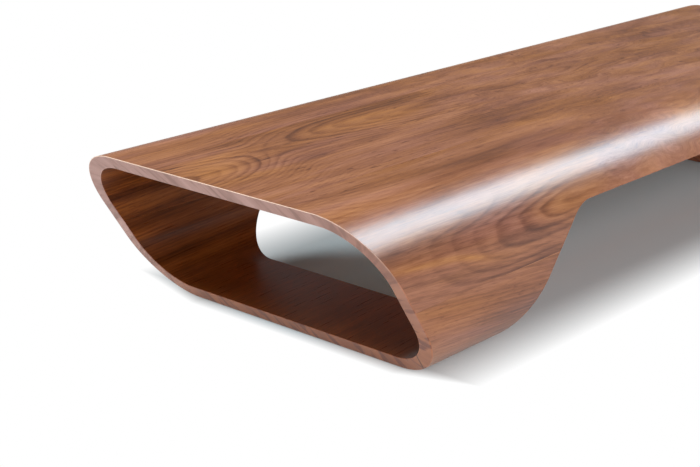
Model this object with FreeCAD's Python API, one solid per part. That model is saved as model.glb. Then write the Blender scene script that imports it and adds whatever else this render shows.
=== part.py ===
import FreeCAD, Part
import math
import os

from FreeCAD import Vector

# Waterfall coffee table of moulded plywood, faced with walnut veneer. Millimetres and degrees.
# X runs along the table with the near end at -X, Y runs across it with the left side at +Y, and Z
# is up. The origin is on the floor under the middle of the table.

# Overall sizes
table_length = 1725.0
table_width = 652.0
table_height = 280.0

# Section of the tube: bend radii on the outer face
top_bend_radius = 108.5
foot_bend_radius = 102.0

# Build-up of the wall
core_thickness = 20.8
veneer_thickness = 0.6
band_thickness = 0.8

# Slants of the cuts, away from upright
end_slant_degrees = 31.0
opening_slant_degrees = 38.5

# Foot and side opening
foot_length = 146.0
opening_height = 202.5
opening_corner_radius = 64.0

# Leaves and strips: where the veneer is joined
centre_leaf_width = 290.0
band_joint_from_side = 48.0

# Loose tongues in the glued joint between the upper shell and the feet
spline_thickness = 6.0
spline_depth = 15.0
spline_end_margin = 36.0
glue_clearance = 0.1

# Glides under the feet
pad_diameter = 25.0
pad_thickness = 4.0
pad_proud = 2.0
pad_clearance = 0.2
pad_spacing = 84.0
pad_from_bend = 35.0
nail_diameter = 3.0
nail_length = 14.0
nail_head_diameter = 9.0
nail_head_thickness = 1.0

# How far every cutting tool runs past what it cuts
overrun = 20.0

# Worked out from the sizes above
wall_thickness = core_thickness + 2 * veneer_thickness
end_slant = math.radians(end_slant_degrees)
opening_slant = math.radians(opening_slant_degrees)
shell_bottom = pad_proud
top_bend_height = table_height - top_bend_radius
foot_bend_height = shell_bottom + foot_bend_radius
seam_height = (top_bend_height + foot_bend_height) / 2
foot_outer_reach = table_length / 2 - table_height * math.tan(end_slant)
foot_inner_reach = foot_outer_reach - foot_length
half_run = table_length / 2 + overrun
half_span = table_width / 2 + overrun

UPPER = 1
LOWER = -1
LEFT = 1
RIGHT = -1


def line(start, end):
    return Part.LineSegment(start, end).toShape()


def face_of(edges):
    return Part.Face(Part.Wire(Part.__sortEdges__(edges)))


def half_loop(depth, half):
    """Edges of the upper or lower half of the section, at a depth under the outer face."""
    radius = top_bend_radius if half == UPPER else foot_bend_radius
    bend_height = top_bend_height if half == UPPER else foot_bend_height
    bend_y = table_width / 2 - radius
    reach = radius - depth
    slope = reach * math.sqrt(0.5)
    crown = bend_height + half * reach
    edges = [line(Vector(-half_run, -bend_y, crown), Vector(-half_run, bend_y, crown))]
    for side in (LEFT, RIGHT):
        wall_y = side * (bend_y + reach)
        seam = Vector(-half_run, wall_y, seam_height)
        wall_end = Vector(-half_run, wall_y, bend_height)
        middle = Vector(-half_run, side * (bend_y + slope), bend_height + half * slope)
        bend_end = Vector(-half_run, side * bend_y, crown)
        edges.append(line(seam, wall_end))
        edges.append(Part.Arc(wall_end, middle, bend_end).toShape())
    return edges


def channel(outer_depth, inner_depth, half):
    """A channel as long as the blank: one half of the section between two depths."""
    edges = half_loop(outer_depth, half) + half_loop(inner_depth, half)
    for side in (LEFT, RIGHT):
        outer_corner = Vector(-half_run, side * (table_width / 2 - outer_depth), seam_height)
        inner_corner = Vector(-half_run, side * (table_width / 2 - inner_depth), seam_height)
        edges.append(line(outer_corner, inner_corner))
    return face_of(edges).extrude(Vector(2 * half_run, 0, 0))


def whole_tube():
    """The full wall all round the section, as the edge bands cover it."""
    outer = face_of(half_loop(0, UPPER) + half_loop(0, LOWER))
    inner = face_of(half_loop(wall_thickness, UPPER) + half_loop(wall_thickness, LOWER))
    return outer.cut(inner).extrude(Vector(2 * half_run, 0, 0))


def prism_across(edges):
    """A profile in the XZ plane, carried right across the table."""
    return face_of(edges).extrude(Vector(0, 2 * half_span, 0))


def blank(inset):
    """All that lies between the two slanted ends, each end moved in by the inset, square to itself."""
    corners = []
    for height in (-overrun, table_height + overrun):
        setback = (table_height - height) * math.tan(end_slant) + inset / math.cos(end_slant)
        corners.append((table_length / 2 - setback, height))
    (low_x, low_z), (high_x, high_z) = corners
    points = [Vector(x, -half_span, z) for x, z in
              ((-low_x, low_z), (low_x, low_z), (high_x, high_z), (-high_x, high_z))]
    return prism_across([line(a, b) for a, b in zip(points, points[1:] + points[:1])])


def opening(growth):
    """The gap between the legs and under the curled edges, made wider all round by the growth."""
    top = opening_height + growth

    def reach(height):
        return foot_inner_reach - height * math.tan(opening_slant) + growth / math.cos(opening_slant)

    radius = opening_corner_radius + growth
    turn = math.pi / 2 - opening_slant
    tangent = radius * math.tan(turn / 2)
    edges = []
    for end in (-1, 1):
        low = Vector(end * reach(-overrun), -half_span, -overrun)
        leg_end = Vector(end * (reach(top) + tangent * math.sin(opening_slant)), -half_span,
                         top - tangent * math.cos(opening_slant))
        apron_end = Vector(end * (reach(top) - tangent), -half_span, top)
        centre = apron_end - Vector(0, 0, radius)
        middle = centre + Vector(end * radius * math.sin(turn / 2), 0, radius * math.cos(turn / 2))
        edges.append(line(low, leg_end))
        edges.append(Part.Arc(leg_end, middle, apron_end).toShape())
    apron = reach(top) - tangent
    floor = reach(-overrun)
    edges.append(line(Vector(-apron, -half_span, top), Vector(apron, -half_span, top)))
    edges.append(line(Vector(-floor, -half_span, -overrun), Vector(floor, -half_span, -overrun)))
    return prism_across(edges)


def block(low, high):
    size = high - low
    return Part.makeBox(size.x, size.y, size.z, low)


def upright(diameter, length, centre, bottom):
    return Part.makeCylinder(diameter / 2, length, Vector(centre.x, centre.y, bottom))


def turned(shape):
    """The same piece at the far end."""
    copy = shape.copy()
    copy.rotate(Vector(0, 0, 0), Vector(0, 0, 1), 180)
    return copy


def near_part(shape):
    """What lies in the half of the table at the near end."""
    low = Vector(-half_run, -half_span, -overrun)
    high = Vector(0, half_span, table_height + overrun)
    return shape.common(block(low, high))


def spline_block(side, clearance):
    """A loose tongue, or with a clearance its groove, in the middle of a leg's wall at the seam."""
    outer_end = table_length / 2 - (table_height - seam_height) * math.tan(end_slant) - spline_end_margin
    inner_end = foot_inner_reach - seam_height * math.tan(opening_slant) + spline_end_margin
    wall_y = side * (table_width - wall_thickness) / 2
    half_thickness = spline_thickness / 2 + clearance
    half_depth = spline_depth + clearance
    low = Vector(-outer_end - clearance, wall_y - half_thickness, seam_height - half_depth)
    high = Vector(-inner_end + clearance, wall_y + half_thickness, seam_height + half_depth)
    return block(low, high)


def glide_places():
    """Centres of the near foot's pads, two on each side."""
    foot_middle = -(foot_outer_reach + foot_inner_reach) / 2
    side_y = table_width / 2 - foot_bend_radius - pad_from_bend
    return [Vector(foot_middle + along * pad_spacing / 2, side * side_y, 0)
            for along in (-1, 1) for side in (LEFT, RIGHT)]


def glide_pads():
    pads = []
    for place in glide_places():
        pad = upright(pad_diameter, pad_thickness, place, 0)
        head = upright(nail_head_diameter, nail_head_thickness, place, pad_thickness - nail_head_thickness)
        pads.append(pad.cut(head))
    return pads


def glide_nails():
    nails = []
    for place in glide_places():
        head = upright(nail_head_diameter, nail_head_thickness, place, pad_thickness - nail_head_thickness)
        nails.append(head.fuse(upright(nail_diameter, nail_length, place, pad_thickness)).removeSplitter())
    return nails


def pad_pockets():
    pocket_diameter = pad_diameter + 2 * pad_clearance
    return [upright(pocket_diameter, pad_thickness, place, 0) for place in glide_places()]


def nail_holes():
    return [upright(nail_diameter, nail_length, place, pad_thickness) for place in glide_places()]


def trimmed(shape):
    """Cut to the slanted ends and the opening, leaving room for the edge bands."""
    return shape.common(blank(band_thickness)).cut(opening(band_thickness))


def upper_shell():
    shell = trimmed(channel(veneer_thickness, wall_thickness - veneer_thickness, UPPER))
    grooves = [spline_block(side, glue_clearance) for side in (LEFT, RIGHT)]
    return shell.cut(grooves + [turned(groove) for groove in grooves])


def near_foot_shell():
    shell = near_part(trimmed(channel(veneer_thickness, wall_thickness - veneer_thickness, LOWER)))
    grooves = [spline_block(side, glue_clearance) for side in (LEFT, RIGHT)]
    return shell.cut(grooves + pad_pockets() + nail_holes())


def leaves(outer_depth, inner_depth):
    """The upper shell's veneer at these depths, as its left, centre and right leaves."""
    skin = trimmed(channel(outer_depth, inner_depth, UPPER))
    joint = centre_leaf_width / 2
    limits = {"left": (joint, half_span), "centre": (-joint, joint), "right": (-half_span, -joint)}
    above = table_height + overrun
    return {name: skin.common(block(Vector(-half_run, low, 0), Vector(half_run, high, above)))
            for name, (low, high) in limits.items()}


def foot_outer_veneer():
    return near_part(trimmed(channel(0, veneer_thickness, LOWER))).cut(pad_pockets())


def foot_lining_veneer():
    return near_part(trimmed(channel(wall_thickness - veneer_thickness, wall_thickness, LOWER)))


def end_bands():
    """The two strips round the near end: over the top and down the right, and under and up the left."""
    strip = near_part(whole_tube().common(blank(0)).cut(blank(band_thickness)))
    over_joint = table_width / 2 - top_bend_radius
    under_joint = -table_width / 2 + band_joint_from_side
    over_side = block(Vector(-half_run, -half_span, seam_height),
                      Vector(half_run, over_joint, table_height + overrun))
    under_side = block(Vector(-half_run, -half_span, -overrun), Vector(half_run, under_joint, seam_height))
    over_space = over_side.fuse(under_side)
    return strip.common(over_space).removeSplitter(), strip.cut(over_space).removeSplitter()


def opening_bands():
    """Strips round the opening: one along each side, and one along each foot's inner edge."""
    strip = whole_tube().common(opening(band_thickness)).cut(opening(0))
    joint = table_width / 2 - foot_bend_radius
    high = table_height + overrun
    left = strip.common(block(Vector(-half_run, joint, -overrun), Vector(half_run, half_span, high)))
    right = strip.common(block(Vector(-half_run, -half_span, -overrun), Vector(half_run, -joint, high)))
    foot = near_part(strip.common(block(Vector(-half_run, -joint, -overrun), Vector(half_run, joint, high))))
    return left.removeSplitter(), right.removeSplitter(), foot.removeSplitter()


def build():
    """Every node of the table by name."""
    nodes = {"upper_shell": upper_shell(), "near_foot_shell": near_foot_shell()}
    for name, leaf in leaves(0, veneer_thickness).items():
        nodes["top_veneer_" + name + "_leaf"] = leaf
    for name, leaf in leaves(wall_thickness - veneer_thickness, wall_thickness).items():
        nodes["underside_veneer_" + name + "_leaf"] = leaf
    nodes["near_foot_outer_veneer"] = foot_outer_veneer()
    nodes["near_foot_lining_veneer"] = foot_lining_veneer()
    nodes["near_end_band_over"], nodes["near_end_band_under"] = end_bands()
    for name, band in zip(("left_opening", "right_opening", "near_foot_inner"), opening_bands()):
        nodes[name + "_band"] = band
    for name in [name for name in nodes if name.startswith("near_")]:
        nodes[name.replace("near_", "far_")] = turned(nodes[name])
    for name, side in (("left", LEFT), ("right", RIGHT)):
        nodes["spline_near_" + name] = spline_block(side, 0)
        nodes["spline_far_" + name] = turned(spline_block(-side, 0))
    for name, solids in (("glide_pads", glide_pads()), ("glide_nails", glide_nails())):
        nodes[name] = Part.makeCompound(solids + [turned(solid) for solid in solids])
    return nodes


os.makedirs("parts", exist_ok=True)
for node, shape in build().items():
    shape.exportStep("parts/" + node + ".step")
    print(node, "solids", len(shape.Solids), "valid", shape.isValid(), "volume", round(shape.Volume))
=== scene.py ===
import math

import bpy
import numpy as np
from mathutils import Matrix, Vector


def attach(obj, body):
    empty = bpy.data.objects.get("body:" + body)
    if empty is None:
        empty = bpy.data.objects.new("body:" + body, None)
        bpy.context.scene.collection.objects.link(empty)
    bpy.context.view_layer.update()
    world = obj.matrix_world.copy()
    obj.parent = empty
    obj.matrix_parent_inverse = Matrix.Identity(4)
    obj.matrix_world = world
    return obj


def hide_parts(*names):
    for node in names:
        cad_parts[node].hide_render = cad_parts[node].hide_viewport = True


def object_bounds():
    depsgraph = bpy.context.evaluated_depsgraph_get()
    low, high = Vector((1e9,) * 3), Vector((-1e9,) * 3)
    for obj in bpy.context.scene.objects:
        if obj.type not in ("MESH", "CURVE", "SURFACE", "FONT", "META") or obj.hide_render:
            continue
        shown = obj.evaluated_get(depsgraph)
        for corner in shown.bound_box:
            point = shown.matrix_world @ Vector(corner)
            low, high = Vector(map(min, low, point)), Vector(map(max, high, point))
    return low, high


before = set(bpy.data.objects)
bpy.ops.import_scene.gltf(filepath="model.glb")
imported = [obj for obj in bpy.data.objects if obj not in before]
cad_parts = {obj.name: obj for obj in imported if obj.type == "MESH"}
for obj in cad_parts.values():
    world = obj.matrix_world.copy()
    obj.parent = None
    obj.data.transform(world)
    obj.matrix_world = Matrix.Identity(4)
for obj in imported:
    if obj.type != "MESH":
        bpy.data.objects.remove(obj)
cad_box = [list(corner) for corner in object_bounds()]

# Sizes of the table in metres: the box comes from the parts of model.glb, the others repeat the part's own
length, width, height = (high - low for low, high in zip(*cad_box))
wall = 0.022
top_bend = 0.1085
foot_bend = 0.102
pad_proud = 0.002
end_lean = math.radians(31.0)
gap_lean = math.radians(38.5)
foot_run = 0.146
gap_height = 0.2025
gap_corner = 0.064
leaf_joint = 0.145
strip_joint = 0.048
veneer = 0.0006

# Sizes of the finish: the strips' skin, the eased arrises, the open joints and the pale line at the seam
strip_skin = 0.0007
outer_arris = 0.0013
inner_arris = 0.0012
hairline = 0.0001
strip_gap = 0.0003
seam_pale_width = 0.0009

# How finely the pieces are divided: steps, and the lengths of leg and half opening that they count over
grid_step = 0.006
strip_step = 0.003
leg_span = 0.5
gap_span = 0.72
leaf_corner_points = 14
strip_corner_points = 20
arris_points = 6
flat_shares = (0.03, 0.22, 0.41, 0.6, 0.79, 0.97)
sharp_angle = math.radians(35)
tiny = 1e-6

# Places worked out from the sizes
quarter = math.pi / 2
half_length = length / 2
half_width = width / 2
top_flat = half_width - top_bend
foot_flat = half_width - foot_bend
bend_line = height - top_bend
foot_line = pad_proud + foot_bend
seam_line = (bend_line + foot_line) / 2
wall_start = top_flat + quarter * top_bend
wall_end = wall_start + bend_line - foot_line
foot_start = wall_end + quarter * foot_bend
half_round = foot_start + foot_flat
seam_round = wall_start + bend_line - seam_line
gap_foot = half_length - height * math.tan(end_lean) - foot_run
corner_run = gap_corner * math.tan((quarter - gap_lean) / 2)
apron_end = gap_foot - gap_height * math.tan(gap_lean) - corner_run
corner_height = gap_height - gap_corner

# Depth of a leaf's face, depth of its back and the ease at its edges
leaf_depths = {"outside": (0.0, veneer, outer_arris), "inside": (wall, wall - veneer, inner_arris)}

# Figure of the veneer, in metres. Along counts from the near end. Across counts from the middle of the top
# round to the right, and on a foot from the middle of its bottom.
# Wanders: size and seed
wanders = {
    "heart": (0.2, 3), "wall_heart": (0.1, 4), "rings": (0.06, 5), "fine_rings": (0.025, 6),
    "tone": (0.07, 7), "wall_waves": (0.03, 8), "bands": (0.07, 9), "curl": (0.006, 11),
    "clouds": (0.013, 12), "plain_heart": (0.15, 20)}

# Runs over which something sets in
runs = {
    "curl": (0.5, 0.8), "heart_back": (0.3, 0.6), "wall_bands": (0.26, 0.325), "wall_lines": (0.28, 0.325),
    "crown_fade": (0.45, 0.62), "far_half": (0.5, 1.1), "clouds": (0.3, 0.6), "far_wall": (0.28, 0.33),
    "far_end": (1.1, 1.3), "wall_tone": (0.30, 0.34), "pale_wall": (0.45, 0.6), "rose_sheen_wall": (0.29, 0.36),
    "clean_bend": (0.19, 0.235), "wall_slant": (0.30, 0.44), "pale_inside": (0.2, 0.35),
    "lining_wall": (0.23, 0.32), "lining_end": (0.17, 0.27), "lit_wall": (0.25, 0.33),
    "lit_depth": (0.22, 0.34), "seam_light": (0.25, 0.36), "painted_shade_and_notches": (0.02, 0.36), "low_painted_shade": (0.30, 0.37),
    "rub_and_highlight": (0.06, 0.11)}

# Soft patches: amount, middle and half sizes, each along and across
crown_lines = {"far_arches": (0.35, (1.12, -0.03), (0.16, 0.06))}
crown_warmth = {
    "middle": (0.9, (0.42, -0.066), (0.17, 0.045)),
    "near_end": (0.7, (0.04, -0.03), (0.07, 0.05))}
crown_tones = {
    "dark_pinch": (-0.11, (0.21, -0.055), (0.07, 0.05)),
    "dark_line": (-0.16, (0.27, 0.006), (0.14, 0.009)),
    "dark_far_line": (-0.10, (0.47, 0.062), (0.16, 0.014)),
    "gold_middle": (0.16, (0.42, -0.066), (0.17, 0.045)),
    "pale_near_end": (0.32, (0.06, -0.05), (0.08, 0.075)),
    "pale_line": (0.18, (0.16, -0.119), (0.13, 0.006)),
    "pale_left": (0.08, (0.05, -0.17), (0.20, 0.04))}
flank_lines = {"near_end": (0.5, (0.04, 0.225), (0.16, 0.045))}
flank_warmth = {"by_opening": (0.9, (0.45, 0.352), (0.10, 0.028))}
flank_tones = {
    "near_end": (0.12, (0.05, 0.225), (0.12, 0.035)),
    "by_opening": (0.14, (0.45, 0.352), (0.10, 0.028)),
    "under_arches": (-0.10, (0.34, 0.375), (0.12, 0.012))}
streak_warmth = {"wall": (0.9, (0.16, 0.357), (0.13, 0.006))}
streak_tones = {"wall": (0.3, (0.15, 0.357), (0.13, 0.006))}
foot_gold = {"wall": (1.0, (0.15, -0.412), (0.10, 0.035))}
foot_tones = {"bend": (-0.2, (0.30, -0.384), (0.09, 0.03))}

# What every look starts from, and the tones of the inner bands and of the seam
plain_look = {"ring_show": 0.8, "tone": 0.0, "rose": 0.0, "warm": 0.0, "specks": 1.0}
band_tone = 0.11
seam_tone = 0.5


def section(round_way, depth=0.0):
    """Y and Z of the point that lies round_way along the outer face from the middle of the top, positive to
    the right, and depth below that face: each flat adds its length, each bend its radius times the sine or
    one minus the cosine of its turn, and the depth goes in along the normal."""
    side = np.where(round_way < 0, 1.0, -1.0)
    way = np.abs(round_way)
    top_turn = np.clip((way - top_flat) / top_bend, 0, quarter)
    foot_turn = np.clip((way - wall_end) / foot_bend, 0, quarter)
    out = np.clip(way, 0, top_flat) + top_bend * np.sin(top_turn) - foot_bend * (1 - np.cos(foot_turn))
    out = out - np.clip(way - foot_start, 0, None) - depth * np.sin(top_turn + foot_turn)
    up = height - top_bend * (1 - np.cos(top_turn)) - np.clip(way - wall_start, 0, bend_line - foot_line)
    up = up - foot_bend * np.sin(foot_turn) - depth * np.cos(top_turn + foot_turn)
    return side * out, up


def way_at_height(up, depth):
    """Way round to a height in the top bend, at this depth: the turn's cosine is the rise over the radius."""
    return top_flat + top_bend * np.arccos(np.clip((up - bend_line) / (top_bend - depth), -1, 1))


def signed_way(way):
    """Way round, counted back from the other side once it is past the middle of the bottom."""
    return np.where(way > half_round, way - 2 * half_round, way)


def end_reach(up):
    """Half length at a height: the ends lean in below the top by the tangent of the lean."""
    return half_length - (height - up) * math.tan(end_lean)


def gap_reach(up, grown=0.0):
    """Half length of the side opening at a height, grown outwards: a leaning line, then a round corner."""
    line = gap_foot - up * math.tan(gap_lean) + grown / math.cos(gap_lean)
    arc_rise = up - corner_height
    arc = apron_end + np.sqrt(np.clip((gap_corner + grown) ** 2 - arc_rise ** 2, 0, None))
    return np.where(arc_rise < (gap_corner + grown) * math.sin(gap_lean), line, arc)


def steps(start, end, step=grid_step):
    """Evenly spaced values from start to end, about one step apart."""
    return np.linspace(start, end, max(2, int(round(abs(end - start) / step)) + 1))


def joined(*rows):
    """One row of values from rows that share their end values."""
    return np.concatenate([rows[0]] + [row[1:] for row in rows[1:]])


def sets_in(run, value):
    """Zero before the named run, one after it, with a smooth S between them."""
    start, end = runs[run]
    share = np.clip((value - start) / (end - start), 0, 1)
    return share * share * (3 - 2 * share)


def bent(value, rounding):
    """Zero below zero and the value itself above, with a rounded corner: half of value plus hypotenuse."""
    return 0.5 * (value + np.hypot(value, rounding))


def drift(along, across, wander, waves=8, draw=5, shortest=0.6, longest=1.7, full_turn=6.28):
    """Slow smooth wander between about -1 and 1: a sum of sine waves of set directions, lengths and phases,
    drawn out along the board."""
    size, seed = wanders[wander]
    dice = np.random.default_rng(seed)
    turns = dice.uniform(-1, 1, waves)
    stretches = dice.uniform(shortest, longest, waves)
    phases = dice.uniform(0, full_turn, waves)
    total = 0.0
    for turn, stretch, phase in zip(turns, stretches, phases):
        total = total + np.sin(stretch * (along / (size * draw) + turn * across / size) + phase)
    return 2 * total / waves


def patch_sum(along, across, patches):
    """Sum of soft patches: each is its amount at its middle and falls off round it as a bell."""
    total = 0.0
    for amount, place, size in patches.values():
        away = ((along - place[0]) / size[0]) ** 2 + ((across - place[1]) / size[1]) ** 2
        total = total + amount * np.exp(-away)
    return total


def end_distance(along):
    """Distance from the nearer end of the table."""
    return np.minimum(along, length - along)


def heart_arches(along, across, pinch, fall_near, fall_far, deepest, spacing, rounding=0.03,
                 eye_depth=0.022, eye_place=0.95, eye_length=0.17):
    """Ring number of a flat-sawn leaf: distance from a heart line under the face, over the ring spacing.
    The heart is deepest at the pinch and rises to both sides, so the rings make arches that point there. A
    second, lower dip towards the far end closes some rings into eyes."""
    reach = along - pinch
    soft = np.hypot(reach, rounding) - rounding
    depth = deepest / (1 + soft * np.where(reach < 0, fall_near, fall_far))
    depth = depth + eye_depth * np.exp(-((reach - eye_place) / eye_length) ** 2)
    return np.hypot(across, depth) / spacing


def curl(along, across, push=0.008):
    """How far the grain is pushed aside where it curls: a quick wander that sets in past the middle."""
    return push * sets_in("curl", along) * drift(along, across, "curl")


def crown_axis(along, across, line=-0.055, swing=0.027, turn=0.16, bend=0.07, back=0.02, wander=0.005):
    """How far a point lies from the heart of the top's left and middle leaf: a line that swings to the left
    by a hyperbolic tangent, comes back a little, wanders and curls."""
    heart = line + swing * np.tanh((turn - along) / bend) + back * sets_in("heart_back", along)
    return across - heart + wander * drift(along, across, "heart") + curl(along, across)


def crown_rings(along, across):
    """Rings of the top's left and middle leaf: two sets of arches that meet point to point."""
    return heart_arches(along, crown_axis(along, across), pinch=0.178, fall_near=5.5, fall_far=2.1,
                        deepest=0.09, spacing=0.0076)


def flank_rings(along, across, heart_end=0.452, heart_line=0.352, lean=0.58, lean_line=0.336, wander=0.004,
                end_round=0.03, line_round=0.012, draw=4.2, spacing=0.0102, wave=0.35, slide=0.055,
                slide_length=0.12, top_edge=0.29, top_spacing=0.012):
    """Rings of the leaf over the right bend and wall. On the wall they are bands round a heart along the
    opening: the cube root of two cubes added, the drawn-out distance from it along the table and the
    distance below it. On the top they are lines that slant away from the near end."""
    reach = heart_end - end_distance(along) - lean * np.minimum(across - lean_line, 0)
    run = bent(reach, end_round) / draw * sets_in("wall_bands", across)
    fall = bent(across - heart_line + wander * drift(along, across, "wall_heart"), line_round)
    waves = wave * drift(along, across, "wall_waves") * sets_in("wall_lines", across)
    slid = across - slide * (1 - np.exp(-along / slide_length))
    top_lines = np.clip(top_edge - slid, 0, None) / top_spacing
    return np.cbrt(run ** 3 + fall ** 3) / spacing + waves + top_lines


def plain_rings(along, across, line=-0.03, wander=0.02):
    """Rings of a quieter leaf: long arches about a heart that wanders a little."""
    axis = across - line + wander * drift(along, across, "plain_heart")
    return heart_arches(along, axis, pinch=0.5, fall_near=0.8, fall_far=0.6, deepest=0.05, spacing=0.0068)


def ring_number(along, across, rings, slow=0.3, quick=0.1):
    """Ring number by one kind of rings, shifted by a slow and a quick wander."""
    shift = slow * drift(along, across, "rings") + quick * drift(along, across, "fine_rings")
    return rings(along, across) + shift


def crown_look(along, across, faint=0.3, strong=0.7, breadth=0.085, fade=0.65, far_tone=0.11):
    """The top's left and middle leaf: lines that show along the heart as a bell and fade past the middle of
    the table, a paler far half, and patches."""
    heart = np.exp(-(crown_axis(along, across) / breadth) ** 2)
    show = faint + strong * heart * (1 - fade * sets_in("crown_fade", along))
    return {"ring_show": show + patch_sum(along, across, crown_lines),
            "tone": far_tone * sets_in("far_half", along) + patch_sum(along, across, crown_tones),
            "warm": patch_sum(along, across, crown_warmth)}


def flank_look(along, across, faint=0.15, arched=1.05, arch_place=0.34, arch_reach=0.15, far_arched=0.35,
               far_tone=0.09, wall_far=0.09, wall_near=-0.03, clean=0.7, slant=0.2, slant_start=0.12,
               slant_round=0.02, ripple=0.002, ripple_rate=42.0):
    """The top's right leaf: arches that show on the near wall as a bell and again at the far end, a paler
    far half, a rosier, cooler wall, partly its hue and partly painted sheen, a slanting streak along it with
    a ripple, and patches."""
    arches = np.exp(-((along - arch_place) / arch_reach) ** 2)
    show = faint + arched * sets_in("wall_lines", across) * arches
    show = show + far_arched * sets_in("far_wall", across) * sets_in("far_end", along)
    streak = across - slant * bent(along - slant_start, slant_round) + ripple * np.sin(along * ripple_rate)
    wall_tone = wall_far * sets_in("pale_wall", along) + wall_near
    tone = far_tone * sets_in("far_half", along) + sets_in("wall_tone", across) * wall_tone
    tone = tone + patch_sum(along, across, flank_tones) + patch_sum(along, streak, streak_tones)
    return {"ring_show": show + patch_sum(along, across, flank_lines),
            "tone": tone,
            # Rosier, cooler wall: partly its hue, partly painted sheen
            "rose": sets_in("rose_sheen_wall", across),
            "warm": patch_sum(along, across, flank_warmth) + patch_sum(along, streak, streak_warmth),
            "specks": 1 - clean * sets_in("clean_bend", across)}


def foot_look(along, across, show=0.36, tone=-0.08, rose=0.6, specks=0.6, gold_tone=0.14, gold_warm=0.4,
              gold_fade=0.6):
    """Outside of a foot: faint lines on rosier, cooler wood, partly its hue and partly painted sheen, a
    golden patch on the wall, a dark one at the bend.
    """
    gold = patch_sum(along, across, foot_gold)
    # The rosier, cooler tint is partly the wood's hue and partly painted sheen
    return {"ring_show": show, "tone": tone + gold_tone * gold + patch_sum(along, across, foot_tones),
            "rose": rose * (1 - gold_fade * gold), "warm": gold_warm * gold, "specks": specks}


def inside_bands(along, across, rate=120, shift=2.2):
    """Light and dark bands of the inner faces: a sine across the board with a wandering phase."""
    return np.sin(across * rate + shift * drift(along, across, "bands"))


def inside_tone(along, dark=0.10, dark_length=0.2, pale=0.05):
    """Tone of the inner faces, painted shade: darker at the ends, as a bell, and a little paler further in.
    """
    from_end = end_distance(along)
    return pale * sets_in("pale_inside", from_end) - dark * np.exp(-(from_end / dark_length) ** 2)


def inside_look(along, across):
    """Underside of the top: its tone, with painted shade at the ends, and bands."""
    return {"tone": inside_tone(along) + band_tone * inside_bands(along, across)}


def lining_look(along, across, faint=0.25, strong=0.5, specks=0.12, wall_band=1.3, floor_band=-0.4,
                end_shade=0.14, wall_light=0.22):
    """Lining of a foot: calm on the floor, with lines and bands on the walls, darker towards the end as
    painted shade and paler on the walls further in as painted light."""
    from_end = end_distance(along)
    aside = np.abs(across)
    on_wall = sets_in("lining_wall", aside)
    bands = wall_band * inside_bands(along, across) * on_wall + floor_band
    # Painted shade towards the end, and painted light on the walls further in
    tone = inside_tone(along) + band_tone * bands - end_shade * (1 - sets_in("lining_end", from_end))
    tone = tone + wall_light * sets_in("lit_wall", aside) * sets_in("lit_depth", from_end)
    return {"ring_show": faint + strong * on_wall, "tone": tone, "specks": specks}


# Figures: their rings and look, how far the tone wanders and how far the grain drifts aside in a metre
figures = {
    "crown": (crown_rings, crown_look, 0.06, 0.0), "flank": (flank_rings, flank_look, 0.06, 0.0),
    "foot": (plain_rings, foot_look, 0.11, 0.115), "inside": (plain_rings, inside_look, 0.06, 0.09),
    "lining": (plain_rings, lining_look, 0.06, 0.09)}


def points(*xyz):
    """Points from their coordinates, each spread over the shape of all three."""
    return np.stack(np.broadcast_arrays(*xyz), axis=-1)


def leaf_fields(along, across, board, figure, hop=0.0005, wall_slant=0.11, far_draw=1.2, draw_start=0.55,
                cloud_tone=0.1):
    """What the veneer's finish reads at each point: its place on the board, its ring number, the rings in a
    metre there, how strongly they show, its tone, how rosy and warm it is, and how strongly its pores and
    flecks show."""
    kind, figure_look, tone_wander, grain_slant = figures[figure]
    slant_way = along if figure == "inside" else end_distance(along)
    across = across - grain_slant * slant_way
    rings = ring_number(along, across, kind)
    ahead = ring_number(along + hop, across, kind) - rings
    aside = ring_number(along, across + hop, kind) - rings
    look = {**plain_look, **figure_look(along, across)}
    look = {field: value + np.zeros_like(along) for field, value in look.items()}
    look["tone"] += tone_wander * drift(along, across, "tone")
    drawn, laid = along, across
    if figure == "flank":
        laid = laid - wall_slant * end_distance(along) * sets_in("wall_slant", across)
    if figure in ("crown", "flank"):
        drawn = drawn + far_draw * np.clip(along - draw_start, 0, None)
        laid = laid + curl(along, across)
        look["tone"] += cloud_tone * sets_in("clouds", along) * drift(along, across, "clouds")
    rate = np.hypot(ahead, aside) / hop
    return {"board": points(drawn, laid, float(board)), "rings": rings, "ring_rate": rate, **look}


def put_object(name, data):
    """A new object in the scene."""
    made = bpy.data.objects.new(name, data)
    bpy.context.scene.collection.objects.link(made)
    return made


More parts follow.
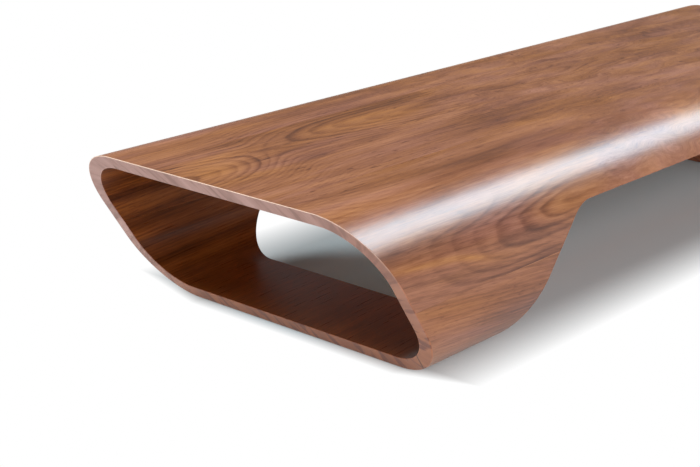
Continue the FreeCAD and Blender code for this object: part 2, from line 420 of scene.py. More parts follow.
def put_piece(name, front, back, fields, finish, slot_name, node, kept=...):
    """A closed shell from a front and a back grid of points: the kept cells of both, joined by a rim along
    every open edge. The faces are turned round if the volume they enclose comes out negative."""
    corner = np.arange(front.shape[0] * front.shape[1]).reshape(front.shape[:2])
    face = np.stack([corner[:-1, :-1], corner[1:, :-1], corner[1:, 1:], corner[:-1, 1:]], axis=-1)
    face = face[kept].reshape(-1, 4)
    edge = np.stack([face, np.roll(face, -1, axis=1)], axis=-1).reshape(-1, 2)
    count = corner.size
    rim = edge[~np.isin(edge[:, 0] * count + edge[:, 1], edge[:, 1] * count + edge[:, 0])]
    sides = np.stack([rim[:, 1], rim[:, 0], rim[:, 0] + count, rim[:, 1] + count], axis=-1)
    quads = np.concatenate([face, face[:, ::-1] + count, sides])
    used, quads = np.unique(quads, return_inverse=True)
    quads = quads.reshape(-1, 4)
    spots = np.concatenate([front.reshape(-1, 3), back.reshape(-1, 3)])[used]
    a, b, c, d = (spots[quads[:, i]] for i in range(4))
    if np.sum(a * np.cross(b, c) + a * np.cross(c, d)) < 0:
        quads = quads[:, ::-1]
    mesh = bpy.data.meshes.new(name)
    mesh.from_pydata(spots.tolist(), [], quads.tolist())
    for field, values in fields.items():
        values = np.concatenate([values.reshape(count, -1)] * 2)[used]
        kind, value_name = ("FLOAT_VECTOR", "vector") if values.shape[1] == 3 else ("FLOAT", "value")
        layer = mesh.attributes.new(field, kind, "POINT")
        layer.data.foreach_set(value_name, values.ravel())
    mesh.shade_smooth()
    mesh.set_sharp_from_angle(angle=sharp_angle)
    mesh.materials.append(finish)
    piece = put_object(name, mesh)
    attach(piece, "root")
    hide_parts(node)


def put_leaf(name, along, way, depths, fields, finish, node, kept=...):
    """A veneer leaf: X from the grid of lengths, Y and Z from the section at each row's way round."""
    faces = [points(along, *(row[:, None] for row in section(way, depth))) for depth in depths]
    put_piece(name, *faces, fields, finish, "walnut_veneer", node, kept)


def upper_leaf(name, node, start, end, side, board, figure, finish):
    """A leaf of the upper sheet between two ways round. Each row is split at the side opening's edge into a
    near, a middle and a far block, and below the opening's top edge the middle block is left out."""
    depth, skin, arris = leaf_depths[side]
    turn = np.linspace(quarter, gap_lean, leaf_corner_points)
    corner_rows = way_at_height(corner_height + (gap_corner + arris) * np.sin(turn), depth)
    low, high = sorted((abs(start), abs(end)))
    rows = steps(start, end)
    if high > corner_rows[-1]:
        rows = joined(steps(low, corner_rows[0]), corner_rows, steps(corner_rows[-1], high))
        rows = rows if start >= 0 else -rows[::-1]
    up = section(rows, depth)[1][:, None]
    end_x = end_reach(up) - arris
    gap_x = gap_reach(up, arris)
    leg_share = steps(0, 1, grid_step / leg_span)
    middle_share = steps(-1, 1, 2 * grid_step / gap_span)
    near_block = -end_x + (end_x - gap_x) * leg_share
    middle_block = gap_x * middle_share[1:-1]
    along = np.concatenate([near_block, middle_block, -near_block[:, ::-1]], axis=1)
    kept = np.ones((len(rows) - 1, along.shape[1] - 1), bool)
    below = np.maximum(np.abs(rows[:-1]), np.abs(rows[1:])) > corner_rows[0] + tiny
    first_cell = len(leg_share) - 1
    kept[np.ix_(below, np.arange(first_cell, first_cell + len(middle_share) - 1))] = False
    fields = leaf_fields(along + half_length, rows[:, None], board, figure)
    put_leaf(name, along, rows, (depth, skin), fields, finish, node, kept)


def foot_leaf(name, node, toward, side, board, figure, finish):
    """The sheet round a foot from seam to seam, between the leaning end and the leaning cut of the opening.
    The far foot is the near one turned half round. The rows at the seam are paler."""
    depth, skin, arris = leaf_depths[side]
    first, last = seam_round + hairline, 2 * half_round - seam_round - hairline
    inner_first, inner_last = first + seam_pale_width, last - seam_pale_width
    rows = joined((first, inner_first), steps(inner_first, inner_last), (inner_last, last))
    way = signed_way(rows) * -toward
    up = section(way, depth)[1][:, None]
    share = steps(0, 1, grid_step / foot_run)
    outer_x = end_reach(up) - arris
    inner_x = gap_reach(up, arris)
    along = toward * (outer_x + (inner_x - outer_x) * share)
    fields = leaf_fields(along + half_length, rows[:, None] - half_round, board, figure)
    fields["tone"][[0, -1]] += seam_tone * sets_in("seam_light", half_length - np.abs(along[[0, -1]]))
    put_leaf(name, along, way, (depth, skin), fields, finish, node)


def strip_profile(outer, inner, into_outer, into_inner, set_in):
    """A strip's cross section at every point of its path: a quarter round off the outer face, a flat across
    the edge and a smaller quarter round into the inner face, all set in by one depth."""
    across = inner - outer
    across = (across / np.linalg.norm(across, axis=1, keepdims=True))[:, None]
    turn = np.linspace(0, quarter, arris_points)[None, :, None]
    outer_round = outer_arris - set_in
    inner_round = inner_arris - set_in
    first = outer[:, None] + across * (outer_arris - outer_round * np.cos(turn))
    first = first + into_outer[:, None] * (outer_arris - outer_round * np.sin(turn))
    last = inner[:, None] - across * (inner_arris - inner_round * np.cos(turn))
    last = (last + into_inner[:, None] * (inner_arris - inner_round * np.sin(turn)))[:, ::-1]
    flat = first[:, -1:] + (last[:, :1] - first[:, -1:]) * np.array(flat_shares)[None, :, None]
    return np.concatenate([first, flat, last], axis=1)


def edge_strip(name, node, edges, board, rub_and_highlight, painted_shade_and_notches, finish, glued=(0.0, 0.0), rub_and_highlight_points=7,
               rub_and_highlight_start=0.3, inner_rub_and_highlight_points=5, inner_rub_and_highlight=0.15):
    """A strip carried along an edge of the moulding: its profile, and the same profile set in by the skin.
    The edges are the outer and inner path and the ways into the wood there. The outer corner is lighter
    as half a sine wave, partly wear and partly a painted highlight, the inner one much less, and the two
    ends may show glue."""
    front, back = strip_profile(*edges, 0.0), strip_profile(*edges, strip_skin)
    outer, inner = edges[:2]
    hop = np.linalg.norm(np.diff((outer + inner) / 2, axis=0), axis=1)
    way = np.concatenate([[0.0], np.cumsum(hop)])[:, None]
    span = np.cumsum(np.linalg.norm(np.diff(front, axis=1, prepend=front[:, :1]), axis=2), axis=1)
    # Lighter corner, partly wear and partly a painted highlight
    wear_and_highlight = np.zeros(front.shape[1])
    wear_and_highlight[:rub_and_highlight_points] = np.sin(np.linspace(rub_and_highlight_start, math.pi, rub_and_highlight_points))
    wear_and_highlight[-inner_rub_and_highlight_points:] = inner_rub_and_highlight * np.sin(np.linspace(0, math.pi, inner_rub_and_highlight_points))
    glue = np.zeros(len(outer))
    glue[[0, -1]] = glued
    fields = {"board": points(way, span, float(board)), "wear_and_highlight": wear_and_highlight * rub_and_highlight[:, None],
              "painted_shade_and_notches": painted_shade_and_notches[:, None] + 0 * span, "glue": glue[:, None] + 0 * span}
    put_piece(name, front, back, fields, finish, "walnut_edge", node)


def end_strip(name, node, toward, outer_way, inner_way, board, finish, glued, aside_share=0.5,
              below_share=1.5, low_aside_share=0.2, low_share=0.21, rub_and_highlight_loss=0.9):
    """A strip on a leaning end between two ways round. The inner edge has its own ways, so that a joint can
    stand upright. The lower and the further to one side it is, the more it is painted browner and darker,
    as shade, and the less its corner shows wear and painted highlight."""
    paths = []
    for way, depth in ((outer_way, 0.0), (inner_way, wall)):
        y, z = section(way * -toward, depth)
        paths.append(points(toward * end_reach(z), y, z))
    into = np.broadcast_to(np.array([-toward, 0.0, 0.0]), paths[0].shape)
    aside, below = toward * paths[0][:, 1], height - paths[0][:, 2]
    # Painted shade: browner and darker the lower and the further to one side
    painted_shade_and_notches = sets_in("painted_shade_and_notches", aside_share * aside + below_share * below)
    # The lighter corner, partly a painted highlight, fades lower down and where the painted shade is
    rub_and_highlight = (1 - rub_and_highlight_loss * painted_shade_and_notches) * (1 - sets_in("rub_and_highlight", below))
    low_painted_shade = sets_in("low_painted_shade", low_aside_share * aside + below_share * below)
    painted_shade_and_notches = (1 - low_share) * painted_shade_and_notches + low_share * low_painted_shade
    edge_strip(name, node, (*paths, into, into), board, rub_and_highlight, painted_shade_and_notches, finish, glued)


def side_edge(along, up, lean, depth, side):
    """Edge points on a side face at lengths and heights of the opening, and the way into the wood there:
    the opening's own normal, tilted to follow the top bend's slope."""
    rise = np.clip(up - bend_line, 0, None)
    drop = np.sqrt((top_bend - depth) ** 2 - rise ** 2)
    into = points(-np.cos(lean), -side * rise / drop * np.sin(lean), np.sin(lean))
    return points(along, side * (top_flat + drop), up), into


def gap_strip(name, node, side, board, finish):
    """The strip round a side opening: up the near foot's bend and leg, round the corner, along under the
    top, and the same in mirror image down the far leg."""
    leg_up = steps(foot_line, corner_height + gap_corner * math.sin(gap_lean))
    turn = np.linspace(gap_lean, quarter, strip_corner_points)
    apron = steps(-apron_end, 0)
    along = joined(-gap_reach(leg_up), -apron_end - gap_corner * np.cos(turn), apron)
    up = joined(leg_up, corner_height + gap_corner * np.sin(turn), np.full(len(apron), gap_height))
    lean = joined(np.full(len(leg_up), gap_lean), turn, np.full(len(apron), quarter))
    way = steps(foot_start, wall_end)[:-1] * -side
    sheared = np.array([-1 / math.cos(gap_lean), 0.0, 0.0])
    mirror = np.array([-1.0, 1.0, 1.0])
    paths, ways_in = [], []
    for depth in (0.0, wall):
        edge, into = side_edge(along, up, lean, depth, side)
        y, z = section(way, depth)
        bend = points(-gap_reach(z), y, z)
        edge = np.concatenate([bend, edge])
        into = np.concatenate([np.broadcast_to(sheared, bend.shape), into])
        paths.append(np.concatenate([edge, edge[-2::-1] * mirror]))
        ways_in.append(np.concatenate([into, into[-2::-1] * mirror]))
    full = np.ones(len(paths[0]))
    # Opening strips: no lighter corner, and painted shade in full
    edge_strip(name, node, (*paths, *ways_in), board, 0 * full, full, finish)


def foot_strip(name, node, toward, board, finish):
    """The straight strip on the inner edge of a foot, between the two foot bends."""
    y = steps(-foot_flat, foot_flat)
    full = np.ones_like(y)
    paths = [points(toward * gap_reach(up), y, up) for up in (pad_proud, pad_proud + wall)]
    into = np.broadcast_to(np.array([toward / math.cos(gap_lean), 0.0, 0.0]), paths[0].shape)
    # Inner foot strips: no lighter corner, and painted shade in full
    edge_strip(name, node, (*paths, into, into), board, 0 * full, full, finish)


def is_socket(value):
    """Tells a node's socket from a plain value."""
    return isinstance(value, bpy.types.NodeSocket)


def add_node(tree, kind, inputs=(), **settings):
    """Adds a shader node. An input that is a socket is joined, and any other value is set."""
    made = tree.nodes.new("ShaderNode" + kind)
    for setting, value in settings.items():
        setattr(made, setting, value)
    for place, value in dict(inputs).items():
        if is_socket(value):
            tree.links.new(value, made.inputs[place])
        else:
            made.inputs[place].default_value = value
    return made


def next_node(kind, inputs, **settings):
    """Adds a shader node in the tree of the sockets among its inputs."""
    tree = next(value.id_data for value in inputs.values() if is_socket(value))
    return add_node(tree, kind, inputs, **settings)


def calc(kind, first, *others):
    """Sockets and numbers put together by one kind of arithmetic, from left to right."""
    for other in others:
        first = next_node("Math", {0: first, 1: other}, operation=kind).outputs[0]
    return first


def vector_calc(kind, first, second, output=0):
    """One step of vector arithmetic on sockets or values."""
    return next_node("VectorMath", {0: first, 1: second}, operation=kind).outputs[output]


def grain_noise(places, per_metre, detail=2.0, rough=0.5, twist=0.0):
    """Noise with this many lumps in a metre along the board, across it and between boards."""
    settings = {"Vector": vector_calc("MULTIPLY", places, per_metre), "Scale": 1.0, "Detail": detail,
                "Roughness": rough, "Distortion": twist}
    return next_node("TexNoise", settings).outputs["Fac"]


def spread(value, low, high, new_low, new_high):
    """Stretches low to high onto new_low to new_high, and keeps it between them."""
    limits = {"Value": value, "From Min": low, "From Max": high, "To Min": new_low, "To Max": new_high}
    return next_node("MapRange", limits).outputs["Result"]


def swing(noise, weight):
    """Noise as a value from minus weight to weight."""
    return spread(noise, *noise_middle, -weight, weight)


def ramp(value, places, colours):
    """Colour or grey by value, with each colour at its place."""
    made = next_node("ValToRGB", {"Fac": value})
    stops = made.color_ramp.elements
    stops[0].position, stops[1].position = places[0], places[-1]
    for place in places[1:-1]:
        stops.new(place)
    for stop, colour in zip(stops, colours):
        stop.color = (*colour, 1.0) if isinstance(colour, tuple) else (colour, colour, colour, 1.0)
    return made.outputs["Color"]


def tint(amount, first, second, kind="MIX"):
    """Mixes the second colour into the first by an amount, or multiplies it in."""
    first, second = (value if is_socket(value) else (*value, 1.0) for value in (first, second))
    inputs = {0: amount, 6: first, 7: second}
    return next_node("Mix", inputs, data_type="RGBA", blend_type=kind).outputs[2]


def new_finish(name):
    """An empty finish: its material, its node tree and its shader."""
    made = bpy.data.materials.new(name)
    made.use_nodes = True
    return made, made.node_tree, made.node_tree.nodes["Principled BSDF"]


def read_field(tree, name, output="Fac"):
    """A field that the piece's mesh carries."""
    return add_node(tree, "Attribute", attribute_name=name).outputs[output]


def lay_finish(shader, colour, roughness, relief, depth, strength):
    """Joins colour, roughness and relief to a finish's shader; the relief is a bump of this depth."""
    bump = next_node("Bump", {"Height": relief, "Distance": depth, "Strength": strength}).outputs["Normal"]
    for place, value in (("Base Color", colour), ("Roughness", roughness), ("Normal", bump)):
        shader.id_data.links.new(value, shader.inputs[place])


# Noise of the finishes: lumps in a metre along, across and between boards, detail, roughness and twist
noise_middle = (0.25, 0.75)
veneer_noise = {
    "wander": ((9.0, 48.0, 3.0), 0.0), "patches": ((2.0, 15.0, 3.0), 2.0, 0.5, 0.6),
    "streaks": ((4.5, 62.0, 3.0), 3.0, 0.6, 0.3), "fibres": ((13.0, 260.0, 3.0), 4.0, 0.65),
    "fine": ((36.0, 900.0, 3.0), 2.0, 0.6), "pores": ((60.0, 430.0, 3.0), 1.0),
    "flecks": ((24.0, 105.0, 3.0), 2.0), "warm": ((1.7, 11.0, 7.0), 2.0), "rosy": ((5.0, 34.0, 11.0), 2.0)}
strip_noise = {
    "bars": ((5.0, 42.0, 5.0), 3.0, 0.55, 0.2), "notches": ((14.0, 95.0, 5.0), 1.0),
    "fine": ((30.0, 700.0, 5.0), 3.0, 0.6)}
strip_clouds = ((5.0, 3.0, 5.0), 2.0)

# What of each noise counts, from low to high, and what that becomes
veneer_shares = {
    "wander": (0.2, 0.8, -0.12, 0.12), "pores": (0.63, 0.73, 0.0, 1.0), "flecks": (0.645, 0.75, 0.0, 0.42),
    "warm": (0.40, 0.64, 0.0, 0.8), "rosy": (0.42, 0.64, 0.0, 0.8)}
ring_strengths = (0.36, 0.64, 0.5, 0.95)
ring_bands = (0.3, 0.7, -0.14, 0.14)
notch_share = (0.53, 0.67, 0.0, 0.45)
cloud_share = (0.3, 0.7, -0.15, 0.15)

# Browns and where they lie, the soft shade of a ring, and the tints
brown_places = (0.0, 0.35, 0.6, 1.0)
face_browns = ((0.085, 0.028, 0.014), (0.20, 0.070, 0.031), (0.31, 0.118, 0.054), (0.48, 0.210, 0.104))
# The same walnut painted darker, as shade, for the inner faces
painted_shade_browns = ((0.075, 0.018, 0.004), (0.165, 0.044, 0.011), (0.275, 0.082, 0.021), (0.44, 0.148, 0.047))
ring_places = (0.0, 0.14, 0.42, 0.72, 0.84, 0.92, 1.0)
ring_greys = (0.35, 0.0, 0.1, 0.62, 0.9, 0.85, 0.35)
warm_tint = (1.0, 0.95, 0.52)
rosy_tint = (0.95, 0.97, 1.28)
# Rosier, cooler tint: partly the wood's own hue, partly painted sheen on the wall and feet
rose_and_sheen_tint = (0.98, 1.02, 1.16)
even_places = (0.0, 0.5, 1.0)
strip_browns = ((0.29, 0.14, 0.106), (0.405, 0.213, 0.172), (0.50, 0.285, 0.24))
# Painted shade: the strips browner and darker lower down, to one side and round the openings
painted_shade_tint = (0.84, 0.50, 0.20)
bar_tint = (0.74, 0.56, 0.48)
# Lighter corner: partly wear, partly a painted highlight
wear_and_highlight_colour = (0.86, 0.63, 0.49)
glue_colour = (0.07, 0.03, 0.015)
strip_grain_turn = math.radians(-52)
relief_depth = 0.0002

# CAD nodes: noise, colours by it, roughness from low to high, and depth and strength of the relief
core_middle = (0.3, 0.7)
cores = {
    "bare_plywood": (
        ((12.0, 300.0, 300.0), 3.0), ((0.30, 0.17, 0.09), (0.46, 0.30, 0.17), (0.52, 0.36, 0.21)),
        (0.6, 0.75), (0.0003, 0.3)),
    "planed_beech": (
        ((30.0, 600.0, 600.0), 3.0), ((0.47, 0.28, 0.14), (0.60, 0.40, 0.22)), (0.45, 0.6), (0.0002, 0.3)),
    "moulded_nylon": (
        ((160.0, 160.0, 160.0), 4.0, 0.6), ((0.22, 0.18, 0.14), (0.31, 0.27, 0.22)), (0.45, 0.65),
        (0.0001, 0.4)),
    "drawn_steel": (
        ((2600.0, 2600.0, 120.0), 3.0), ((0.42, 0.42, 0.43), (0.60, 0.60, 0.61)), (0.28, 0.45),
        (0.0001, 0.3))}
ply_waves = {"Scale": 110.0, "Distortion": 1.5, "Detail": 2.0}
ply_fibre_brown = (0.34, 0.21, 0.12)
ply_fibre_share = 0.4
ray_noise = ((300.0, 1500.0, 1500.0), 1.0)
ray_share = (0.6, 0.7, 0.0, 0.6)
ray_brown = (0.30, 0.15, 0.07)
pebble_noise = ((1800.0, 1800.0, 1800.0), 2.0)


def ring_dice(ring_place, per_ring):
    """Noise that is the same all along a growth ring, with this many lumps to a ring."""
    settings = {"W": calc("MULTIPLY", ring_place, per_ring), "Scale": 1.0, "Detail": 2.0}
    return next_node("TexNoise", settings, noise_dimensions="1D").outputs["Fac"]


def ring_lines(ring_place, before=0.008, after=0.002, line_weight=0.25, shade_weight=0.85, per_ring=0.71):
    """How dark the growth rings are: a sharp line at each ring's edge, of one width in metres because its
    distance is the part of a ring over the rings in a metre, and a soft shade that grows towards it. Some
    rings are stronger than others."""
    ring_part = calc("FRACT", ring_place, 0.0)
    ring_rate = read_field(ring_place.id_data, "ring_rate")
    to_edge = calc("DIVIDE", calc("SUBTRACT", 1.0, ring_part), ring_rate)
    from_edge = calc("DIVIDE", ring_part, ring_rate)
    line = calc("MAXIMUM", spread(to_edge, 0.0, before, 1.0, 0.0),
                spread(from_edge, 0.0, after, 1.0, 0.0))
    line = calc("MULTIPLY", line, line, line_weight)
    shade = calc("MULTIPLY", ramp(ring_part, ring_places, ring_greys), shade_weight)
    strength = spread(ring_dice(ring_place, per_ring), *ring_strengths)
    return calc("MULTIPLY", calc("ADD", line, shade), strength)


def walnut_face(name, browns, ring_weight, streak_weight, patch_weight, gloss, tooth, fibre_weight=0.21,
                fine_weight=0.12, pore_weight=0.3, middle_tone=0.65, bands_per_ring=0.33, rosy_patches=0.5,
                rosy_warmth=0.45, fibre_relief=0.6, gloss_range=0.1, lacquer_specular=0.35):
    """Lacquered walnut veneer: ring lines, tone patches, streaks, long fibres, dark flecks and short pores,
    all drawn out along the board, add up to one value that picks the brown, with slow changes from orange
    to rose brown, and a rosier, cooler tint where the field says, partly the wood's hue and partly painted
    sheen."""
    made, tree, shader = new_finish(name)
    places = read_field(tree, "board", "Vector")
    noise = {layer: grain_noise(places, *settings) for layer, settings in veneer_noise.items()}
    share = {layer: spread(noise[layer], *limits) for layer, limits in veneer_shares.items()}
    ring_show = read_field(tree, "ring_show")
    rose = read_field(tree, "rose")
    ring_place = calc("ADD", read_field(tree, "rings"), share["wander"])
    bands = spread(ring_dice(ring_place, bands_per_ring), *ring_bands)
    bands = calc("MULTIPLY", bands, ring_show)
    patches = swing(noise["patches"], patch_weight)
    patches = calc("MULTIPLY", patches, spread(rose, 0.0, 1.0, 1.0, rosy_patches))
    streaks = swing(noise["streaks"], streak_weight)
    fibres = swing(noise["fibres"], fibre_weight)
    fine = swing(noise["fine"], fine_weight)
    value = calc("ADD", read_field(tree, "tone"), middle_tone, bands, patches, streaks, fibres, fine)
    lines = calc("MULTIPLY", ring_lines(ring_place), ring_show, ring_weight)
    specks = calc("ADD", calc("MULTIPLY", share["pores"], pore_weight), share["flecks"])
    specks = calc("MULTIPLY", specks, read_field(tree, "specks"))
    colour = ramp(calc("SUBTRACT", value, lines, specks), brown_places, browns)
    warm = calc("MULTIPLY", share["warm"], spread(rose, 0.0, 1.0, 1.0, rosy_warmth))
    warm = calc("MINIMUM", calc("ADD", warm, read_field(tree, "warm")), 1.0)
    # Warm and rosy patches, and the rosier, cooler tint that is partly painted sheen
    for amount, hue in ((warm, warm_tint), (share["rosy"], rosy_tint), (rose, rose_and_sheen_tint)):
        colour = tint(amount, colour, hue, "MULTIPLY")
    shader.inputs["Specular IOR Level"].default_value = lacquer_specular
    roughness = spread(noise["fibres"], *noise_middle, gloss, gloss + gloss_range)
    relief = calc("MULTIPLY", noise["fibres"], fibre_relief)
    relief = calc("SUBTRACT", relief, share["pores"])
    lay_finish(shader, colour, roughness, relief, relief_depth, tooth)
    return made


def walnut_edge(name, bar_weight=1.1, fine_weight=0.13, notches_in_shade=3.2, deep_notch=1.2,
                shade_enough_for_bars=0.5, smooth=0.36, rough=0.5, tooth=0.2):
    """Edge strip cut across the board: the grain crosses it aslant in bars and dark notches, it is painted
    browner and darker as shade, with more notches and darker bars, where its field says so, the rounded
    corner is lighter, partly wear and partly a painted highlight, and glue is dark."""
    made, tree, shader = new_finish(name)
    places = read_field(tree, "board", "Vector")
    turned = next_node("Mapping", {"Vector": places, "Rotation": (0.0, 0.0, strip_grain_turn)}).outputs[0]
    noise = {layer: grain_noise(turned, *settings) for layer, settings in strip_noise.items()}
    painted_shade_and_notches = read_field(tree, "painted_shade_and_notches")
    notches = spread(noise["notches"], *notch_share)
    notches = calc("MULTIPLY", notches, spread(painted_shade_and_notches, 0.0, 1.0, 1.0, notches_in_shade))
    bars = spread(noise["bars"], *noise_middle, 0.0, bar_weight)
    clouds = spread(grain_noise(places, *strip_clouds), *cloud_share)
    value = calc("ADD", bars, swing(noise["fine"], fine_weight), clouds)
    colour = ramp(calc("SUBTRACT", value, notches), even_places, strip_browns)
    barred = calc("MULTIPLY", spread(notches, 0.0, deep_notch, 0.0, 1.0),
                  spread(painted_shade_and_notches, shade_enough_for_bars, 1.0, 0.0, 1.0))
    # Painted shade browns and darkens the strip, and darkens its bars
    colour = tint(painted_shade_and_notches, colour, painted_shade_tint, "MULTIPLY")
    colour = tint(barred, colour, bar_tint, "MULTIPLY")
    # Lighter corner: partly wear, partly a painted highlight
    colour = tint(read_field(tree, "wear_and_highlight"), colour, wear_and_highlight_colour)
    colour = tint(read_field(tree, "glue"), colour, glue_colour)
    roughness = spread(noise["fine"], *noise_middle, smooth, rough)
    lay_finish(shader, colour, roughness, noise["fine"], relief_depth, tooth)
    return made


def core_finish(name):
    """Finish of a CAD node: noise over its own coordinates gives colour, roughness and relief. Plywood has
    thin light and dark plies by height under its fibres, beech short dark rays along the stick, nylon a
    fine pebble, and steel is metal with drawn lines."""
    made, tree, shader = new_finish(name)
    places = add_node(tree, "TexCoord").outputs["Object"]
    settings, colours, roughness, bump = cores[name]
    noise = relief = grain_noise(places, *settings)
    if name == "bare_plywood":
        plies = next_node("TexWave", {"Vector": places, **ply_waves}, bands_direction="Z").outputs["Fac"]
        fibres = spread(noise, *core_middle, 0.0, ply_fibre_share)
        colour = tint(fibres, ramp(plies, even_places, colours), ply_fibre_brown)
    else:
        colour = ramp(noise, core_middle, colours)
    if name == "planed_beech":
        rays = spread(grain_noise(places, *ray_noise), *ray_share)
        colour = tint(rays, colour, ray_brown)
    if name == "moulded_nylon":
        relief = grain_noise(places, *pebble_noise)
    if name == "drawn_steel":
        shader.inputs["Metallic"].default_value = 1.0
    lay_finish(shader, colour, spread(noise, *core_middle, *roughness), relief, *bump)
    return made


# Finishes and pieces; each kind of piece has its own boards, numbered from its first
face = walnut_face("lacquered_walnut_face", face_browns, ring_weight=0.44, streak_weight=0.16,
                   patch_weight=0.25, gloss=0.28, tooth=0.16)
# The lining and the underside are the same walnut painted darker, as shade inside the table
painted_shade_lining = walnut_face("walnut_lining_painted_shade", painted_shade_browns, ring_weight=0.25, streak_weight=0.08,
                          patch_weight=0.1, gloss=0.25, tooth=0.05)
painted_shade_inside = walnut_face("walnut_inside_painted_shade", painted_shade_browns, ring_weight=0.3, streak_weight=0.2,
                          patch_weight=0.28, gloss=0.3, tooth=0.16)
edge = walnut_edge("walnut_edge_strip")
boards = {"top": 0, "under": 4, "foot": 8, "lining": 10, "end_over": 12, "end_under": 14, "foot_inner": 16,
          "opening": 18}

upper_leaves = (("left", -seam_round, -leaf_joint, "crown"), ("centre", -leaf_joint, leaf_joint, "crown"),
                ("right", leaf_joint, seam_round, "flank"))
for number, (place, start, end, figure) in enumerate(upper_leaves):
    start, end = start + hairline, end - hairline
    upper_leaf("walnut_top_" + place, "top_veneer_%s_leaf" % place, start, end, "outside",
               boards["top"] + number, figure, face)
    upper_leaf("walnut_under_" + place, "underside_veneer_%s_leaf" % place, start, end, "inside",
               boards["under"] + number, "inside", painted_shade_inside)

# The end strips meet where the left bend leaves the top and, upright, low on the right
joint_in = half_width - strip_joint - foot_flat
joint_glue = 0.8
over_start = -top_flat
over_end = wall_end + foot_bend * math.acos(joint_in / foot_bend)
inner_over_end = wall_end + foot_bend * math.acos(joint_in / (foot_bend - wall))
over_count = len(steps(over_start, over_end, strip_step))
over_outer = np.linspace(over_start + hairline, over_end - strip_gap, over_count)
over_inner = np.linspace(over_start + hairline, inner_over_end - strip_gap, over_count)
under_start = over_end + strip_gap
under_end = 2 * half_round + over_start - hairline
under_outer = joined(steps(under_start, half_round, strip_step), steps(half_round, under_end, strip_step))
under_inner = np.interp(under_outer, (under_start, under_end), (inner_over_end + strip_gap, under_end))
for number, (place, toward) in enumerate((("near", -1.0), ("far", 1.0))):
    foot_leaf("walnut_%s_foot" % place, place + "_foot_outer_veneer", toward, "outside",
              boards["foot"] + number, "foot", face)
    foot_leaf("walnut_%s_foot_lining" % place, place + "_foot_lining_veneer", toward, "inside",
              boards["lining"] + number, "lining", painted_shade_lining)
    end_strip("strip_%s_end_over" % place, place + "_end_band_over", toward, over_outer, over_inner,
              boards["end_over"] + number, edge, (0.0, joint_glue))
    end_strip("strip_%s_end_under" % place, place + "_end_band_under", toward, signed_way(under_outer),
              signed_way(under_inner), boards["end_under"] + number, edge, (joint_glue, 0.0))
    foot_strip("strip_%s_foot_inner" % place, place + "_foot_inner_band", toward,
               boards["foot_inner"] + number, edge)
for number, (place, side) in enumerate((("left", 1.0), ("right", -1.0))):
    gap_strip("strip_%s_opening" % place, place + "_opening_band", side, boards["opening"] + number, edge)

cad_finishes = {"shell": "bare_plywood", "spline": "planed_beech", "glide_pads": "moulded_nylon",
                "glide_nails": "drawn_steel"}
for words, name in cad_finishes.items():
    finish = core_finish(name)
    for node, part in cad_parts.items():
        if words in node:
            part.data.materials.clear()
            part.data.materials.append(finish)

# Floor: its half size, its colours, where its shade ends and fades, and where painted shade darkens and tints
# it
floor_half = 9.0
lit_paper = (0.9, 0.9, 0.9)
# The camera's paper colour, darker and cooler: painted shade
painted_shade_paper = (0.60, 0.63, 0.645)
far_left_end = (0.56, 0.22, 0.0)
far_left_fade = (0.30, 0.19, 1.0)
near_right_end = (-0.67, -0.225, 0.0)
near_right_fade = (0.048, 0.13, 1.0)
# Painted shade: darker on the left, cooler under the table and beside the near foot, and its colours
left_side = (0.17, 0.28)
painted_left_shade_colour = (0.4, 0.4, 0.4)
under_table = (-0.15, 0.0)
painted_under_shade_colour = (0.915, 1.08, 1.13)
foot_reach = (-0.36, -0.22)
foot_side = (0.10, 0.20)
painted_foot_shade_colour = (0.97, 1.22, 1.36)
white = (1.0, 1.0, 1.0, 1.0)


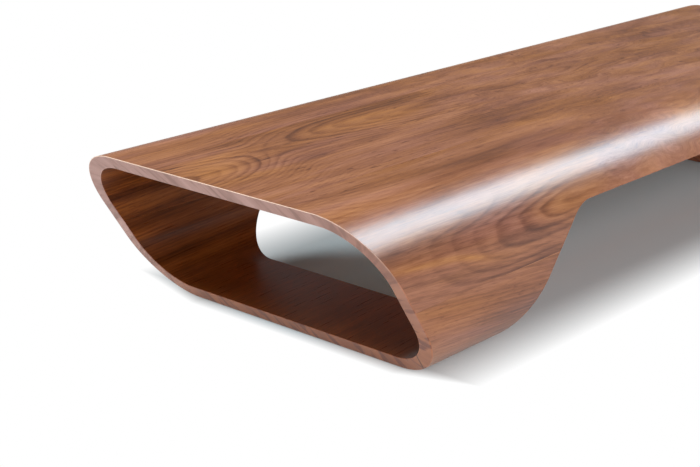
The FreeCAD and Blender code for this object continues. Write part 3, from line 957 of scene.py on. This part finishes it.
def white_paper(name, fade_power=1.6, painted_light_in_shade=0.025):
    """Floor paper whose shade ends softly. How far a point lies past the ends of the shade, lengthwise and
    sideways, each over its fade, is added up, and a power of that mixes in plain white for the rays that
    show the floor, so that where the shade ends is painted; a little white is mixed in everywhere, painted
    light in the shade. The camera sees the paper darker and cooler, as painted shade, dimmer still on the
    left, and cooler under the table and beside the near foot."""
    made, tree, shader = new_finish(name)
    tree.nodes.remove(shader)
    ray = add_node(tree, "LightPath").outputs
    camera_ray = ray["Is Camera Ray"]
    seen = calc("MAXIMUM", camera_ray, ray["Is Glossy Ray"], ray["Is Transmission Ray"])
    spot = add_node(tree, "TexCoord").outputs["Object"]
    past_far = vector_calc("SUBTRACT", spot, far_left_end)
    past_near = vector_calc("SUBTRACT", near_right_end, spot)
    past = vector_calc("MAXIMUM", vector_calc("DIVIDE", past_far, far_left_fade),
                       vector_calc("DIVIDE", past_near, near_right_fade))
    past = vector_calc("MAXIMUM", past, (0.0, 0.0, 0.0))
    away = vector_calc("DOT_PRODUCT", past, (1.0, 1.0, 0.0), "Value")
    split = next_node("SeparateXYZ", {0: spot}).outputs
    # Painted shade for the camera: dimmer on the left, cooler under the table and beside the near foot
    painted_left_shade = calc("MULTIPLY", camera_ray, spread(split["Y"], *left_side, 0.0, 1.0))
    painted_under_shade = calc("MULTIPLY", camera_ray, spread(split["Y"], *under_table, 0.0, 1.0))
    painted_foot_shade = calc("MULTIPLY", painted_under_shade, spread(split["X"], *foot_reach, 1.0, 0.0),
                       spread(split["Y"], *foot_side, 1.0, 0.0))
    colour = tint(camera_ray, lit_paper, painted_shade_paper)
    for amount, hue in ((painted_left_shade, painted_left_shade_colour), (painted_under_shade, painted_under_shade_colour), (painted_foot_shade, painted_foot_shade_colour)):
        colour = tint(amount, colour, hue, "MULTIPLY")
    plain = next_node("BsdfDiffuse", {"Color": colour}).outputs[0]
    glow = add_node(tree, "Emission", {"Color": white, "Strength": 1.0}).outputs[0]
    # White past the shade's ends, and a little painted light everywhere in the shade
    lift = spread(calc("POWER", away, fade_power), 0.0, 1.0, painted_light_in_shade, 1.0)
    mix = {0: calc("MULTIPLY", seen, lift), 1: plain, 2: glow}
    shown = next_node("MixShader", mix).outputs[0]
    tree.links.new(shown, tree.nodes["Material Output"].inputs["Surface"])
    return made


corners = [(x * floor_half, y * floor_half, 0.0) for x, y in ((-1, -1), (1, -1), (1, 1), (-1, 1))]
floor_mesh = bpy.data.meshes.new("floor")
floor_mesh.from_pydata(corners, [], [(0, 1, 2, 3)])
floor_mesh.materials.append(white_paper("white_paper"))
floor = put_object("floor", floor_mesh)

# World: white to the camera, a low light on the table
world_light = 0.2
world = bpy.data.worlds.new("studio")
bpy.context.scene.world = world
world.use_nodes = True
tree = world.node_tree
ray = add_node(tree, "LightPath").outputs
seen = calc("MAXIMUM", ray["Is Camera Ray"], ray["Is Transmission Ray"])
backdrop = tree.nodes["Background"]
tree.links.new(spread(seen, 0.0, 1.0, world_light, 1.0), backdrop.inputs["Strength"])
backdrop.inputs["Color"].default_value = white


def softbox(name, place, aim, size, power):
    """A rectangular lamp that faces a point."""
    lamp = bpy.data.lights.new(name, "AREA")
    lamp.shape = "RECTANGLE"
    lamp.size, lamp.size_y = size
    lamp.energy = power
    made = put_object(name, lamp)
    made.location = place
    made.rotation_euler = (Vector(aim) - Vector(place)).to_track_quat("-Z", "Y").to_euler()
    return made


# Lamps: a key, a fill without gleam, and cards overhead that make only the gleam along the right bend
table_middle = (0.0, 0.0, 0.1)
softbox("left_key_softbox", place=(-2.6, 3.8, 5.0), aim=table_middle, size=(3.2, 3.2), power=440.0)
fill = softbox("front_fill_softbox", place=(-1.8, -4.5, 2.2), aim=table_middle, size=(3.0, 2.2),
               power=165.0)
fill.visible_glossy = False
card_height = 2.0
card_sides = (-1.79, -0.44)
card_colour = (0.75, 1.07, 1.28)
cards = {"near_card": (0.0, 1.3, 20.0), "middle_card": (1.3, 2.6, 14.5), "far_card": (2.6, 5.4, 9.5)}
for name, (start, end, glow) in cards.items():
    size = (end - start, card_sides[1] - card_sides[0])
    spot = ((start + end) / 2, sum(card_sides) / 2)
    card = softbox(name, (*spot, card_height), (*spot, 0.0), size, glow * math.pi * size[0] * size[1])
    card.data.color = card_colour
    card.visible_diffuse = False

# Camera: fitted to the photo, in its pixels
photo_width = 700.0
focal_pixels = 1490.9
axis_pixel = 450.0
azimuth, elevation = math.radians(-49.978), math.radians(18.633)
eye = (-2.19798, -1.58144, 0.89260)
scene = bpy.context.scene
scene.view_settings.view_transform = "Standard"
lens = bpy.data.cameras.new("photo_camera")
lens.sensor_width = 36.0
lens.lens = focal_pixels / photo_width * lens.sensor_width
lens.shift_x = 0.5 - axis_pixel / photo_width
camera = put_object("photo_camera", lens)
camera.location = eye
level = math.cos(elevation)
ahead = Vector((-math.sin(azimuth) * level, math.cos(azimuth) * level, -math.sin(elevation)))
camera.rotation_euler = ahead.to_track_quat("-Z", "Y").to_euler()
scene.camera = camera
